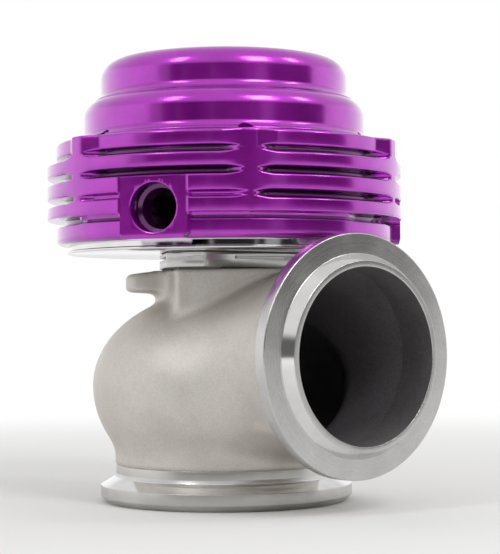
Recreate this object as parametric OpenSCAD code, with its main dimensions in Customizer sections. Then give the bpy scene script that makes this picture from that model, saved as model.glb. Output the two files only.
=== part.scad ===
// External turbo wastegate with clamped round inlet and outlet flanges.
// Millimetres. +Z runs up the valve stem, +X along the outlet, and the origin is
// the centre of the inlet flange's bottom face.

/* [Inlet flange] */
// Outside diameter of the inlet flange
inlet_flange_d = 65; // [63:0.5:70]
// Height of the straight rim
inlet_rim_h = 3.2; // [2.5:0.1:4]
// Chamfer under the rim
inlet_chamfer = 1.1; // [0.5:0.1:1.5]
// Height of the clamp bevel above the rim
inlet_bevel_h = 2.5; // [2:0.1:3]
// Wall of the turned neck round the seat ring
inlet_neck_wall = 2.2; // [2:0.1:2.8]
// Height of the turned neck
inlet_neck_h = 2.8; // [2:0.1:4]
// Step from the turned neck out to the cast neck
cast_step = 0.5; // [0.2:0.1:1]

/* [Valve and seat] */
// Bore of the seat ring
seat_bore_d = 44; // [42:0.5:45]
// Wall of the seat ring
seat_wall = 4; // [3.4:0.1:4.4]
// Height of the seat ring's top above the flange face
seat_h = 8; // [7.5:0.1:8.5]
// Depth of the register in the inlet flange, up to the seat ring
register_h = 1.5; // [1:0.1:2]
// Step from the seat ring's pocket out to the register
register_step = 0.5; // [0.3:0.1:0.8]
// Ledge that holds the seat ring in its pocket
seat_ledge = 1.5; // [1.2:0.1:1.8]
// Width of the 45 degree seat
seat_land = 1.4; // [1:0.1:1.8]
// Gap between the closed valve and the seat
seat_gap = 0.1; // [0.05:0.01:0.2]
// Stem diameter in the guide
stem_d = 8; // [7:0.5:9]
// Thread diameter at the stem's top
stem_thread_d = 6; // [5:1:6]
// Travel of the valve
lift = 11; // [8:0.5:12]
// Thickness of the valve head's rim
head_rim_h = 1.6; // [1:0.2:3]
// Height of the cone between head and stem
head_cone_h = 6.5; // [4:0.5:9]

/* [Chamber] */
// Greatest diameter of the round chamber
bulb_d = 68.8; // [68:0.2:72]
// Height of the chamber's widest point
bulb_z = 29.8; // [28:0.2:31]
// Half height of the chamber above its widest point
bulb_rise = 24.7; // [24:0.1:26]
// Half height of the chamber below its widest point
bulb_drop = 28; // [27:0.5:30]
// Wall of the casting
cast_wall = 3.4; // [2.8:0.1:3.8]
// Diameter of the neck under the deck
neck_d = 34.4; // [33:0.2:36]

/* [Outlet] */
// Bore of the outlet
outlet_bore_d = 42.4; // [40:0.2:43]
// Outside diameter of the outlet tube
outlet_tube_d = 47.4; // [47:0.2:49]
// Height of the outlet's axis
outlet_z = 37.6; // [37:0.1:38.2]
// Distance from the stem's axis to the end of the outlet's lip
outlet_reach = 54.6; // [54:0.2:60]
// Outside diameter of the outlet flange
outlet_flange_d = 58.4; // [57:0.2:60]
// Thickness of the outlet flange's rim
outlet_rim_h = 3.1; // [2.5:0.1:4]
// Length of the bevel behind the rim
outlet_bevel_h = 2.6; // [2:0.1:3]
// Outside diameter of the raised lip round the bore
outlet_lip_d = 47.2; // [46:0.2:49]
// Height of the raised lip
outlet_lip_h = 3; // [1:0.1:4]

/* [Deck and spacer] */
// Height of the deck's top face
deck_z = 59.2; // [59:0.1:60]
// Depth of the deck's solid corners
deck_depth = 13; // [11:0.5:14]
// Distance from the stem to the deck's diagonal faces
deck_diagonal = 22.5; // [22:0.1:23.5]
// Distance from the stem to the deck's rear slanted faces
deck_rear = 15; // [14.6:0.1:16]
// Reach of the side lugs
lug_reach = 25.7; // [25:0.1:28]
// Width of the side lugs
lug_w = 13; // [11:0.5:14]
// Thickness of the side lugs
lug_t = 4.2; // [3.5:0.1:5]
// Distance of the lugs' top below the deck's top
lug_drop = 0.8; // [0.5:0.1:1.5]
// Thickness of the gasket on the deck
body_gasket_t = 0.5; // [0.3:0.1:0.8]
// Thickness of the heat spacer
spacer_t = 3.5; // [3.2:0.1:5]
// Height of the slot round the spacer
slot_h = 0.8; // [0.5:0.1:1]
// Depth of the slot round the spacer
slot_depth = 2.2; // [1:0.1:2.4]
// Distance from the stem to the spacer's front face
spacer_front = 17.2; // [16.5:0.1:18]
// Distance from the stem to the spacer's diagonal faces
spacer_diagonal = 26; // [25:0.1:27]
// Distance from the stem to the spacer's rear slanted faces
spacer_rear = 17; // [16.6:0.1:17.6]
// Thickness of the gasket under the base plate
base_gasket_t = 0.4; // [0.3:0.1:0.8]

/* [Base plate] */
// Diameter of the base plate's lip
base_lip_d = 81.6; // [80:0.2:84]
// Height of the lip
base_lip_h = 0.7; // [0.5:0.1:1]
// Diameter of the polished band above the lip
base_band_d = 80.4; // [79:0.2:81]
// Thickness of the base plate
base_plate_t = 2.2; // [2:0.1:3]

/* [Actuator housing] */
// Diameter over the three middle fins
fin_d = 91.8; // [91:0.2:94]
// Diameter of the bottom fin
low_fin_d = 86.8; // [86:0.2:90]
// Diameter over the round middle of the top fin's sides
top_fin_d = 87.2; // [86.4:0.2:88]
// Distance from the stem to the flats beside the top fin's corners
top_flat = 40.6; // [40.2:0.1:41]
// Height of the bottom fin up to the middle of its groove
low_fin_h = 4.8; // [4.5:0.1:5.5]
// Distance between fins
fin_pitch = 5.5; // [5.3:0.1:5.8]
// Height of the top fin from the middle of its groove
top_fin_h = 4.5; // [4.3:0.1:5]
// Height of the grooves between fins
groove_h = 2; // [1.6:0.1:2.4]
// Diameter at the bottom of the grooves
groove_d = 82.2; // [81.8:0.2:84]
// Chamfer on the fins' edges
fin_chamfer = 0.6; // [0.3:0.1:0.8]
// Width of the corner posts at the top groove
post_w = 6.3; // [5:0.1:8]
// Loss of post width from each groove to the next below
post_step = 1.95; // [1.5:0.05:2]
// Diameter of the chamber under the diaphragm
chamber_d = 69; // [68:0.2:70]
// Thickness of the housing's floor
floor_t = 2.4; // [2:0.1:2.6]
// Height of the ledge that the diaphragm lies on, above the housing's bottom
ledge_h = 16; // [15.5:0.1:16.5]

/* [Side ports] */
// Distance from the stem to the flat face of a port pad
pad_reach = 44.8; // [44.4:0.1:45.2]
// Width of a port pad
pad_w = 17.8; // [16:0.1:18]
// Chamfer at the lower corners of a pad
pad_chamfer = 1.2; // [0.5:0.1:2]
// Height of the port's axis above the housing's bottom
port_h = 7.4; // [7.4:0.1:7.6]
// Diameter of the smooth mouth of a port
port_mouth_d = 11.8; // [11.2:0.1:12.2]
// Depth of the smooth mouth
port_mouth_depth = 4.2; // [3:0.1:4.5]
// Bore of the port's thread
port_bore_d = 9.9; // [8.8:0.1:10]

/* [Cap] */
// Diameter of the collar inside the housing
collar_d = 77.2; // [77:0.1:77.6]
// Gap between the collar and the housing's bore
collar_gap = 0.3; // [0.1:0.05:0.4]
// Diameter of the lower step
step_d = 72.8; // [72:0.1:73.2]
// Diameter of the upper step
crown_d = 64; // [62.5:0.1:64.5]
// Height of the cap's top above the housing's top
crown_h = 22; // [21:0.5:25]
// Height of the lower step's straight wall above the housing's top
step_h = 7; // [6:0.1:7.5]
// Radius of the lower step's shoulder
step_round = 4.6; // [4:0.1:4.8]
// Radius of the top edge
crown_round = 5; // [3:0.5:6]
// Radius of the coves at the foot of both steps
cove = 1.9; // [1:0.1:2]
// Thickness of the cap's top
crown_t = 3; // [2.5:0.1:4]
// Wall of the lower step
step_wall = 2.2; // [1.9:0.1:2.4]
// Wall of the upper step
crown_wall = 2.8; // [2.5:0.1:4]
// Bore of the port in the cap's top
top_port_d = 8.6; // [8:0.1:9]
// Diameter of the boss inside round the top port
top_boss_d = 16; // [14:0.5:17]
// Wire diameter of the retaining ring
ring_wire_d = 2.4; // [2:0.1:2.6]
// Distance of the retaining ring below the housing's top
ring_drop = 1.9; // [1.7:0.1:2.4]

/* [Diaphragm and plates] */
// Thickness of the diaphragm
diaphragm_t = 1.2; // [0.8:0.1:1.5]
// Diameter of the lower plate
lower_plate_d = 56; // [50:0.5:56.2]
// Thickness of the lower plate
lower_plate_t = 2.5; // [2:0.1:3]
// Diameter of the upper plate
upper_plate_d = 55.6; // [54:0.2:56]
// Thickness of the upper plate
upper_plate_t = 2.5; // [2:0.1:3]
// Height of the upper plate's rim above its face
plate_rim_h = 2.5; // [1:0.1:3]
// Height of the lower plate's underside above the housing's bottom when closed
plate_h = 10.2; // [10:0.1:10.8]

/* [Springs] */
// Mean diameter of the outer spring
outer_coil_d = 47; // [44:0.5:48]
// Wire of the outer spring
outer_wire_d = 3; // [2.5:0.1:3]
// Mean diameter of the middle spring
middle_coil_d = 36; // [34:0.5:38]
// Wire of the middle spring
middle_wire_d = 2.6; // [2:0.1:2.8]
// Mean diameter of the inner spring
inner_coil_d = 26; // [23:0.5:27]
// Wire of the inner spring
inner_wire_d = 2.2; // [1.6:0.1:2.4]
// Turns of each spring
spring_turns = 5; // [4:0.5:5]

/* [Screws] */
// Thread diameter of the base screws
screw_d = 5; // [4:1:5]
// Radius of the two front screws from the stem
front_screw_r = 19.5; // [19:0.1:20]
// Angle of the front screws from the outlet
front_screw_a = 62; // [60:1:64]
// Radius of the two rear screws from the stem
rear_screw_r = 12.4; // [12:0.1:13]
// Angle of the rear screws from the outlet
rear_screw_a = 150; // [140:1:155]

/* [Hidden] */
$fn = 96;
cut = 1;
thread_gap = 0.05;
running_gap = 0.04;
screw_hole_gap = 0.25;
gasket_inset = 0.6;
rear_a = 120;
slot_drop = 0.7;
spacer_round = 2.5;

purple = "#7d1f8c";
steel = "#bdb7ae";
turned = "#c8c8c8";
polished = "#dcdcdc";
bronze = "#a9763c";
graphite = "#3a3a3a";
rubber = "#202020";
zinc = "#9aa0a6";

// Heights along the stem
rim_top_z = inlet_chamfer + inlet_rim_h;
bevel_top_z = rim_top_z + inlet_bevel_h;
cast_z = bevel_top_z + inlet_neck_h;
spacer_z = deck_z + body_gasket_t;
base_gasket_z = spacer_z + spacer_t;
base_z = base_gasket_z + base_gasket_t;
housing_z = base_z + base_plate_t;
floor_z = housing_z + floor_t;
ledge_z = housing_z + ledge_h;
cap_z = ledge_z + diaphragm_t;
groove_z = [for (i = [0:3]) housing_z + low_fin_h + i * fin_pitch];
housing_top_z = groove_z[3] + top_fin_h;
ring_z = housing_top_z - ring_drop;
crown_z = housing_top_z + crown_h;
crown_inner_z = crown_z - crown_t;
plate_z = housing_z + plate_h;
diaphragm_z = plate_z + lower_plate_t;
upper_plate_z = diaphragm_z + diaphragm_t;
stem_washer_z = upper_plate_z + upper_plate_t;
stem_washer_t = 1.2;
stem_nut_z = stem_washer_z + stem_washer_t;
stem_nut_h = 5;
stem_top_z = stem_nut_z + stem_nut_h + 1.5;
stem_washer_w = 4;
stem_washer_r = stem_thread_d / 2 + stem_washer_w;
stem_nut_d = stem_thread_d * 1.92;
plate_edge = 1.2;
plate_rim_w = 1.5;
coil_seat = 0.1;
port_z = housing_z + port_h;

// Inlet neck and chamber
seat_od = seat_bore_d + 2 * seat_wall;
inlet_neck_d = seat_od + 2 * inlet_neck_wall;
cast_neck_z = (cast_z + bulb_z) / 2;
top_wall = cast_wall * 1.25;

// Valve head and seat
valve_edge_z = seat_h;
seat_foot_z = seat_h - seat_land;
head_r = seat_bore_d / 2 + seat_land - seat_gap;
head_top_z = valve_edge_z + head_rim_h;
cone_top_z = head_top_z + head_cone_h;
head_lip_h = 0.8;
seat_edge = 0.5;
head_lip_w = 1;
stem_flare = 3.5;
dish_w = 7;
dish_h = 1.5;

// Valve guide, scraper and seal
guide_r = 6.5;
boss_r = 10;
boss_z = 38;
scraper_h = 1.8;
scraper_r = 7.5;
guide_z = boss_z + scraper_h;
stem_clearance = 1;
seal_r = 8;
retainer_t = 1;
seal_top_z = base_z - retainer_t;

// Outlet flange stations along X, and the tapered tube between stem and flange
outlet_face_x = outlet_reach - outlet_lip_h;
outlet_back_x = outlet_face_x - outlet_rim_h;
outlet_bevel_x = outlet_back_x - outlet_bevel_h;
tube_wall = (outlet_tube_d - outlet_bore_d) / 2;
straight_l = 12;
taper_overlap = 2;
taper_l = outlet_bevel_x + taper_overlap;
taper_step = 0.2;
taper_z = 33.5;
taper_r = 20;

// Side ports and posts
port_angles = [-60, 60];
post_angles = [for (i = [0:5]) 30 + 60 * i];
bore_r = collar_d / 2 + collar_gap;
ring_r = collar_d / 2 + collar_gap / 2;
ring_gap = 0.15;

// Base screws
screw_places = [for (s = [-1, 1], k = [0, 1])
    [[front_screw_r, rear_screw_r][k], s * [front_screw_a, rear_screw_a][k]]];
screw_head_r = screw_d * 0.85;
screw_head_h = screw_d;
screw_depth = 7;
washer_t = 0.8;
washer_r = screw_head_r * 1.1;
screw_socket_d = screw_d * 0.92;
tapped_extra = 0.5;
boss_wall = 2;

// Diaphragm, as wide as the collar that clamps it
diaphragm_d = collar_d;
fold_in_r = 28.9;
fold_out_r = 33.3;
fold_z = cap_z;

// Edges of the housing and the cap
foot = 1.4;
port_edge = 1.2;
port_edge_h = 0.4;
flange_edge = 0.4;
lip_edge = 0.2;
collar_edge = 0.3;
collar_h = 1.1;
step_inside_drop = 2;
step_inside_rise = 1.6;
crown_inside_w = 1.5;
crown_corner = 3;
top_boss_h = 3;
cove_end_a = 262;
step_bore_d = step_d - 2 * step_wall;
crown_bore_d = crown_d - 2 * crown_wall;

function polar(r, a) = [r * cos(a), r * sin(a)];
function arc(c, r, a0, a1, n = 10) = [for (i = [0:n]) c + polar(r, a0 + (a1 - a0) * i / n)];
// Point where two lines meet, each given by the angle of its normal and its distance
function meet(a1, d1, a2, d2) =
    [(d1 * sin(a2) - d2 * sin(a1)) / sin(a2 - a1), (d2 * cos(a1) - d1 * cos(a2)) / sin(a2 - a1)];

module disc(r, z0, z1) {
    translate([0, 0, z0]) cylinder(r = r, h = z1 - z0);
}

module washer(r, hole_r, z0, z1) {
    difference() {
        disc(r, z0, z1);
        disc(hole_r, z0 - cut, z1 + cut);
    }
}

module at_screws() {
    for (p = screw_places) translate(polar(p[0], p[1])) children();
}

module along_outlet() {
    translate([0, 0, outlet_z]) rotate([0, 90, 0]) children();
}

// Bulged chamber between the cast neck and the deck, as a profile of radius and height
function bulb_profile(r, rise, drop, z0) =
    let (a0 = -asin((bulb_z - z0) / drop), steps = 14)
    concat([[0, z0]],
           [for (i = [0:steps]) let (a = a0 * (1 - i / steps)) [r * cos(a), bulb_z + drop * sin(a)]],
           [for (i = [1:steps]) let (a = 90 * i / steps) [r * cos(a), bulb_z + rise * sin(a)]]);

module inlet_flange() {
    r = inlet_flange_d / 2;
    rotate_extrude() polygon([
        [0, 0], [r - inlet_chamfer, 0], [r, inlet_chamfer], [r, rim_top_z],
        [inlet_neck_d / 2, bevel_top_z], [inlet_neck_d / 2, cast_z], [0, cast_z]]);
}

// Cone from the stem's axis to the outlet flange, with its bottom line level
module outlet_taper(wall) {
    rise = outlet_z - taper_z;
    translate([0, 0, taper_z]) rotate([0, 90 - atan(rise / taper_l), 0])
        cylinder(r1 = taper_r - wall, r2 = outlet_tube_d / 2 - taper_step - wall, h = norm([taper_l, rise]));
}

module outlet_outside() {
    r = outlet_flange_d / 2;
    outlet_taper(0);
    along_outlet() {
        rotate_extrude() polygon([
            [0, outlet_bevel_x], [outlet_tube_d / 2, outlet_bevel_x], [r, outlet_back_x],
            [r, outlet_face_x - flange_edge], [r - flange_edge, outlet_face_x], [0, outlet_face_x]]);
        disc(outlet_lip_d / 2, outlet_face_x - cut, outlet_reach);
    }
}

module outlet_inside() {
    outlet_taper(tube_wall);
    along_outlet() disc(outlet_bore_d / 2, outlet_reach - straight_l, outlet_reach + cut);
}

module deck_outline(inset) {
    diagonal = deck_diagonal - inset;
    rear = deck_rear - inset;
    polygon([meet(-45, diagonal, 45, diagonal), meet(45, diagonal, rear_a, rear), polar(rear, rear_a),
             polar(rear, -rear_a), meet(-rear_a, rear, -45, diagonal)]);
    circle(r = neck_d / 2 - inset);
}

module lug() {
    tip_r = lug_w / 3;
    tip_x = lug_reach - tip_r;
    translate([0, 0, deck_z - lug_drop - lug_t]) linear_extrude(lug_t) {
        translate([0, -lug_w / 2]) square([tip_x, lug_w]);
        translate([0, tip_r - lug_w / 2]) square([lug_reach, lug_w - 2 * tip_r]);
        for (side = [-1, 1]) translate([tip_x, side * (lug_w / 2 - tip_r)]) circle(tip_r);
    }
}

module valve_body() {
    color(steel) difference() {
        union() {
            inlet_flange();
            disc(inlet_neck_d / 2 + cast_step, cast_z, cast_neck_z);
            rotate_extrude() polygon(bulb_profile(bulb_d / 2, bulb_rise, bulb_drop, cast_z));
            disc(neck_d / 2, bulb_z + bulb_rise / 2, deck_z);
            translate([0, 0, deck_z - deck_depth]) linear_extrude(deck_depth) deck_outline(0);
            for (a = [-rear_a, rear_a]) rotate([0, 0, a]) lug();
            outlet_outside();
        }
        difference() {
            union() {
                rotate_extrude() polygon(bulb_profile(bulb_d / 2 - cast_wall, bulb_rise - top_wall,
                                                      bulb_drop - cast_wall, seat_h));
                outlet_inside();
            }
            disc(boss_r, boss_z, deck_z);
        }
        disc(seat_od / 2 + register_step, -cut, register_h);
        disc(seat_od / 2, -cut, seat_h);
        disc(seat_od / 2 - seat_ledge, seat_h - cut, cast_neck_z);
        disc(guide_r, boss_z - cut, deck_z + cut);
        disc(scraper_r, boss_z - cut, guide_z);
        at_screws() disc(screw_d / 2, deck_z - screw_depth - tapped_extra, deck_z + cut);
    }
}

module valve_seat() {
    bore_r1 = seat_bore_d / 2;
    color(zinc) rotate_extrude() polygon([
        [bore_r1 + seat_edge, register_h], [seat_od / 2, register_h], [seat_od / 2, seat_h],
        [bore_r1 + seat_land, seat_h], [bore_r1, seat_foot_z], [bore_r1, register_h + seat_edge]]);
}

module valve() {
    foot_r = head_r - seat_land;
    neck_r = stem_d / 2;
    color(zinc) {
        rotate_extrude() polygon(concat(
            [[0, seat_foot_z - head_lip_h], [foot_r - head_lip_w, seat_foot_z - head_lip_h], [foot_r, seat_foot_z],
             [head_r, valve_edge_z], [head_r, head_top_z], [neck_r + dish_w, head_top_z + dish_h]],
            arc([neck_r + stem_flare, cone_top_z], stem_flare, 270, 180, 6),
            [[neck_r, plate_z], [0, plate_z]]));
        disc(stem_thread_d / 2, plate_z - cut, stem_top_z);
    }
}

module valve_guide() {
    color(bronze) washer(guide_r, stem_d / 2 + running_gap, guide_z, deck_z);
}

module stem_scraper() {
    color(graphite) washer(scraper_r, stem_d / 2 + running_gap, boss_z, guide_z);
}

module stem_seal() {
    color(rubber) washer(seal_r, stem_d / 2 + running_gap, spacer_z, seal_top_z);
}

module seal_retainer() {
    color(zinc) washer(seal_r, stem_d / 2 + stem_clearance / 2, seal_top_z, base_z);
}

module body_gasket() {
    color(graphite) difference() {
        translate([0, 0, deck_z]) linear_extrude(body_gasket_t) deck_contact(gasket_inset);
        disc(seal_r, deck_z - cut, spacer_z + cut);
        at_screws() disc(screw_d / 2 + screw_hole_gap, deck_z - cut, spacer_z + cut);
    }
}

// Where the deck and the spacer face each other
module deck_contact(inset) {
    intersection() {
        deck_outline(inset);
        spacer_outline(inset);
    }
}

// Sides are given by the angle of their normal and their distance, in turn
module spacer_outline(inset) {
    sides = [[0, spacer_front], [45, spacer_diagonal], [rear_a, spacer_rear],
             [360 - rear_a, spacer_rear], [315, spacer_diagonal]];
    corners = [for (i = [0, 1, 3, 4]) let (a = sides[i], b = sides[(i + 1) % 5])
        [meet(a[0], a[1] - inset - spacer_round, b[0], b[1] - inset - spacer_round), a[0], b[0]]];
    polygon(concat([for (i = [0, 1]) each tangents(corners[i])], [polar(spacer_rear - inset, rear_a),
            polar(spacer_rear - inset, -rear_a)], [for (i = [2, 3]) each tangents(corners[i])]));
    for (c = corners) translate(c[0]) circle(r = spacer_round);
    circle(r = spacer_rear - inset);
}
function tangents(c) = [c[0] + polar(spacer_round, c[1]), c[0] + polar(spacer_round, c[2])];

module heat_spacer() {
    slot_z = base_gasket_z - slot_drop - slot_h;
    color(turned) difference() {
        union() {
            translate([0, 0, spacer_z]) linear_extrude(slot_z - spacer_z) spacer_outline(0);
            translate([0, 0, slot_z]) linear_extrude(slot_h) spacer_outline(slot_depth);
            translate([0, 0, slot_z + slot_h]) linear_extrude(base_gasket_z - slot_z - slot_h) spacer_outline(0);
            at_screws() disc(screw_d / 2 + boss_wall, spacer_z, base_gasket_z);
        }
        disc(seal_r, spacer_z - cut, base_gasket_z + cut);
        at_screws() disc(screw_d / 2 + screw_hole_gap, spacer_z - cut, base_gasket_z + cut);
    }
}

module base_gasket() {
    color(graphite) difference() {
        translate([0, 0, base_gasket_z]) linear_extrude(base_gasket_t) spacer_outline(gasket_inset);
        disc(seal_r, base_gasket_z - cut, base_z + cut);
        at_screws() disc(screw_d / 2 + screw_hole_gap, base_gasket_z - cut, base_z + cut);
    }
}

module base_plate() {
    color(polished) difference() {
        rotate_extrude() polygon([
            [0, base_z], [base_lip_d / 2 - lip_edge, base_z], [base_lip_d / 2, base_z + lip_edge],
            [base_lip_d / 2, base_z + base_lip_h], [base_band_d / 2, base_z + base_lip_h + lip_edge / 2],
            [base_band_d / 2, housing_z], [0, housing_z]]);
        disc(stem_d / 2 + stem_clearance, base_z - cut, housing_z + cut);
        at_screws() disc(screw_d / 2 + screw_hole_gap, base_z - cut, housing_z + cut);
    }
}

module base_screws() {
    seat_z = floor_z + washer_t;
    color(zinc) at_screws() difference() {
        union() {
            disc(screw_d / 2 - thread_gap, deck_z - screw_depth, seat_z + cut);
            disc(screw_head_r, seat_z, seat_z + screw_head_h);
        }
        translate([0, 0, seat_z + screw_head_h / 2]) cylinder(d = screw_socket_d, h = screw_head_h, $fn = 6);
    }
}

module screw_washers() {
    color(bronze) at_screws() washer(washer_r, screw_d / 2 + thread_gap, floor_z, floor_z + washer_t);
}

// Six round sides with a flat at each end, which meet in a corner at each post
module top_fin(z0, z1) {
    translate([0, 0, z0]) linear_extrude(z1 - z0) intersection() {
        circle(d = fin_d);
        union() {
            circle(d = top_fin_d);
            rotate(post_angles[0]) circle(r = top_flat / cos(30), $fn = 6);
        }
    }
}

// One groove between fins, interrupted by the six corner posts
module groove(z, width) {
    flare_r = fin_d / 2;
    half = groove_h / 2;
    c = fin_chamfer;
    difference() {
        rotate_extrude() polygon([
            [groove_d / 2, z - half], [flare_r - c, z - half], [flare_r + cut, z - half - c - cut],
            [flare_r + cut, z + half + c + cut], [flare_r - c, z + half], [groove_d / 2, z + half]]);
        if (width > 0)
            for (a = post_angles) rotate([0, 0, a])
                translate([0, -width / 2, z - 2 * groove_h]) cube([fin_d, width, 4 * groove_h]);
    }
}

module port_pad() {
    half = pad_w / 2;
    top = groove_z[2] - groove_h / 2 - housing_z;
    inner = (pad_reach + chamber_d / 2) / 2;
    translate([inner, 0, housing_z]) rotate([90, 0, 90]) linear_extrude(pad_reach - inner) polygon([
        [-half, pad_chamfer], [pad_chamfer - half, 0], [half - pad_chamfer, 0], [half, pad_chamfer],
        [half, top], [-half, top]]);
}

module pad_face_cut() {
    top = groove_z[2] - groove_h / 2 - housing_z;
    translate([pad_reach, -fin_d / 4, housing_z - cut]) cube([fin_d, fin_d / 2, top + cut]);
}

module port_hole() {
    shoulder = (port_mouth_d - port_bore_d) / 2;
    translate([0, 0, port_z]) rotate([0, 90, 0]) {
        disc(port_bore_d / 2, chamber_d / 2 - port_bore_d / 2, pad_reach + cut);
        disc(port_mouth_d / 2, pad_reach - port_mouth_depth, pad_reach + cut);
        translate([0, 0, pad_reach - port_mouth_depth - shoulder])
            cylinder(d1 = port_bore_d, d2 = port_mouth_d, h = shoulder);
        translate([0, 0, pad_reach - port_edge_h])
            cylinder(d1 = port_mouth_d, d2 = port_mouth_d + 2 * port_edge, h = port_edge);
    }
}

module actuator_housing() {
    low_r = low_fin_d / 2;
    color(purple) difference() {
        union() {
            difference() {
                union() {
                    rotate_extrude() polygon([
                        [0, housing_z], [low_r - foot, housing_z], [low_r, housing_z + foot],
                        [low_r, groove_z[0]], [0, groove_z[0]]]);
                    disc(fin_d / 2, groove_z[0], groove_z[3]);
                    top_fin(groove_z[3] - cut, housing_top_z);
                }
                for (i = [0:3]) groove(groove_z[i], i == 0 ? 0 : post_w - (3 - i) * post_step);
            }
            for (a = port_angles) rotate([0, 0, a]) port_pad();
        }
        for (a = port_angles) rotate([0, 0, a]) {
            pad_face_cut();
            port_hole();
        }
        disc(chamber_d / 2, floor_z, housing_top_z + cut);
        disc(bore_r, ledge_z, housing_top_z + cut);
        rotate_extrude() translate([ring_r, ring_z]) circle(d = ring_wire_d + ring_gap, $fn = 24);
        disc(stem_d / 2 + stem_clearance, housing_z - cut, floor_z + cut);
        at_screws() disc(screw_d / 2 + screw_hole_gap, housing_z - cut, floor_z + cut);
    }
}

module lower_plate() {
    r = lower_plate_d / 2;
    color(zinc) difference() {
        rotate_extrude() polygon([
            [0, plate_z], [r - plate_edge, plate_z], [r, plate_z + plate_edge], [r, diaphragm_z],
            [0, diaphragm_z]]);
        disc(stem_thread_d / 2 + thread_gap, plate_z - cut, diaphragm_z + cut);
    }
}

module diaphragm() {
    fold_r = (fold_out_r - fold_in_r) / 2;
    half = diaphragm_t / 2;
    color(rubber) rotate_extrude() {
        translate([stem_thread_d / 2 + thread_gap, diaphragm_z])
            square([fold_in_r + half - stem_thread_d / 2 - thread_gap, diaphragm_t]);
        translate([fold_in_r - half, diaphragm_z]) square([diaphragm_t, fold_z - diaphragm_z]);
        translate([fold_in_r + fold_r, fold_z]) intersection() {
            difference() {
                circle(r = fold_r + half, $fn = 48);
                circle(r = fold_r - half, $fn = 48);
            }
            translate([-fold_out_r, 0]) square([2 * fold_out_r, fold_out_r]);
        }
        translate([fold_out_r - half, ledge_z]) square([diaphragm_d / 2 - fold_out_r + half, diaphragm_t]);
    }
}

module upper_plate() {
    r = upper_plate_d / 2;
    color(zinc) difference() {
        rotate_extrude() polygon([
            [0, upper_plate_z], [r, upper_plate_z], [r, stem_washer_z + plate_rim_h],
            [r - plate_rim_w, stem_washer_z + plate_rim_h], [r - plate_rim_w, stem_washer_z],
            [0, stem_washer_z]]);
        disc(stem_thread_d / 2 + thread_gap, upper_plate_z - cut, stem_washer_z + cut);
    }
}

module stem_washer() {
    color(zinc) washer(stem_washer_r, stem_thread_d / 2 + thread_gap, stem_washer_z, stem_nut_z);
}

module stem_nut() {
    color(zinc) difference() {
        translate([0, 0, stem_nut_z]) cylinder(d = stem_nut_d, h = stem_nut_h, $fn = 6);
        disc(stem_thread_d / 2 + thread_gap, stem_nut_z - cut, stem_nut_z + stem_nut_h + cut);
    }
}

// Coil of round wire between the upper plate and the cap
module coil(coil_d, wire_d) {
    sides = 8;
    per_turn = 20;
    steps = per_turn * spring_turns;
    z0 = stem_washer_z + wire_d / 2 + coil_seat;
    z1 = crown_inner_z - wire_d / 2 - coil_seat;
    points = [for (i = [0:steps], k = [0:sides - 1])
        let (a = 360 * i / per_turn, b = 360 * k / sides, r = coil_d / 2 + wire_d / 2 * cos(b))
        [r * cos(a), r * sin(a), z0 + (z1 - z0) * i / steps + wire_d / 2 * sin(b)]];
    walls = [for (i = [0:steps - 1], k = [0:sides - 1])
        let (a = i * sides + k, b = i * sides + (k + 1) % sides) [a, b, b + sides, a + sides]];
    polyhedron(points, concat(walls, [[for (k = [sides - 1:-1:0]) k]],
                              [[for (k = [0:sides - 1]) steps * sides + k]]), convexity = 8);
}

module outer_spring() {
    color(turned) coil(outer_coil_d, outer_wire_d);
}

module middle_spring() {
    color(turned) coil(middle_coil_d, middle_wire_d);
}

module inner_spring() {
    color(turned) coil(inner_coil_d, inner_wire_d);
}

module actuator_cap() {
    collar_r = collar_d / 2;
    step_r = step_d / 2;
    crown_r = crown_d / 2;
    step_top = housing_top_z + step_h;
    collar_top = housing_top_z + collar_h;
    shoulder = [step_r - step_round, step_top];
    cove_c = [crown_r + cove, shoulder[1] + sqrt(pow(step_round, 2) - pow(crown_r + cove * 0.86 - shoulder[0], 2))
              + cove * 0.99];
    outside = concat(
        [[0, crown_z], [crown_r - crown_round, crown_z]],
        arc([crown_r - crown_round, crown_z - crown_round], crown_round, 90, 0),
        arc(cove_c, cove, 180, cove_end_a, 6),
        [for (a = [60:-6:0]) shoulder + polar(step_round, a)],
        arc([step_r + cove, collar_top + cove], cove, 180, 270, 6),
        [[collar_r - collar_edge, collar_top], [collar_r, collar_top - collar_edge], [collar_r, cap_z]]);
    inside = [
        [step_bore_d / 2, cap_z], [step_bore_d / 2, step_top - step_inside_drop],
        [crown_bore_d / 2 + crown_inside_w, step_top + step_inside_rise],
        [crown_bore_d / 2, step_top + step_inside_rise + crown_inside_w],
        [crown_bore_d / 2, crown_inner_z - crown_corner],
        [crown_bore_d / 2 - crown_corner, crown_inner_z], [0, crown_inner_z]];
    color(purple) difference() {
        union() {
            rotate_extrude() polygon(concat(outside, inside));
            disc(top_boss_d / 2, crown_inner_z - top_boss_h, crown_inner_z + cut);
        }
        disc(top_port_d / 2, crown_inner_z - top_boss_h - cut, crown_z + cut);
        translate([0, 0, crown_z - port_edge_h])
            cylinder(d1 = top_port_d, d2 = top_port_d + 2 * port_edge, h = port_edge);
        rotate_extrude() translate([ring_r, ring_z]) circle(d = ring_wire_d + ring_gap, $fn = 24);
    }
}

module retaining_ring() {
    color(zinc) rotate([0, 0, 4]) rotate_extrude(angle = 352) translate([ring_r, ring_z])
        circle(d = ring_wire_d, $fn = 24);
}

valve_body();
valve_seat();
valve();
valve_guide();
stem_scraper();
stem_seal();
seal_retainer();
body_gasket();
heat_spacer();
base_gasket();
base_plate();
base_screws();
screw_washers();
actuator_housing();
lower_plate();
diaphragm();
upper_plate();
stem_washer();
stem_nut();
outer_spring();
middle_spring();
inner_spring();
actuator_cap();
retaining_ring();
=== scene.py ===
import math

import bmesh
import bpy
import numpy as np
from mathutils import Matrix, Vector


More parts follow.
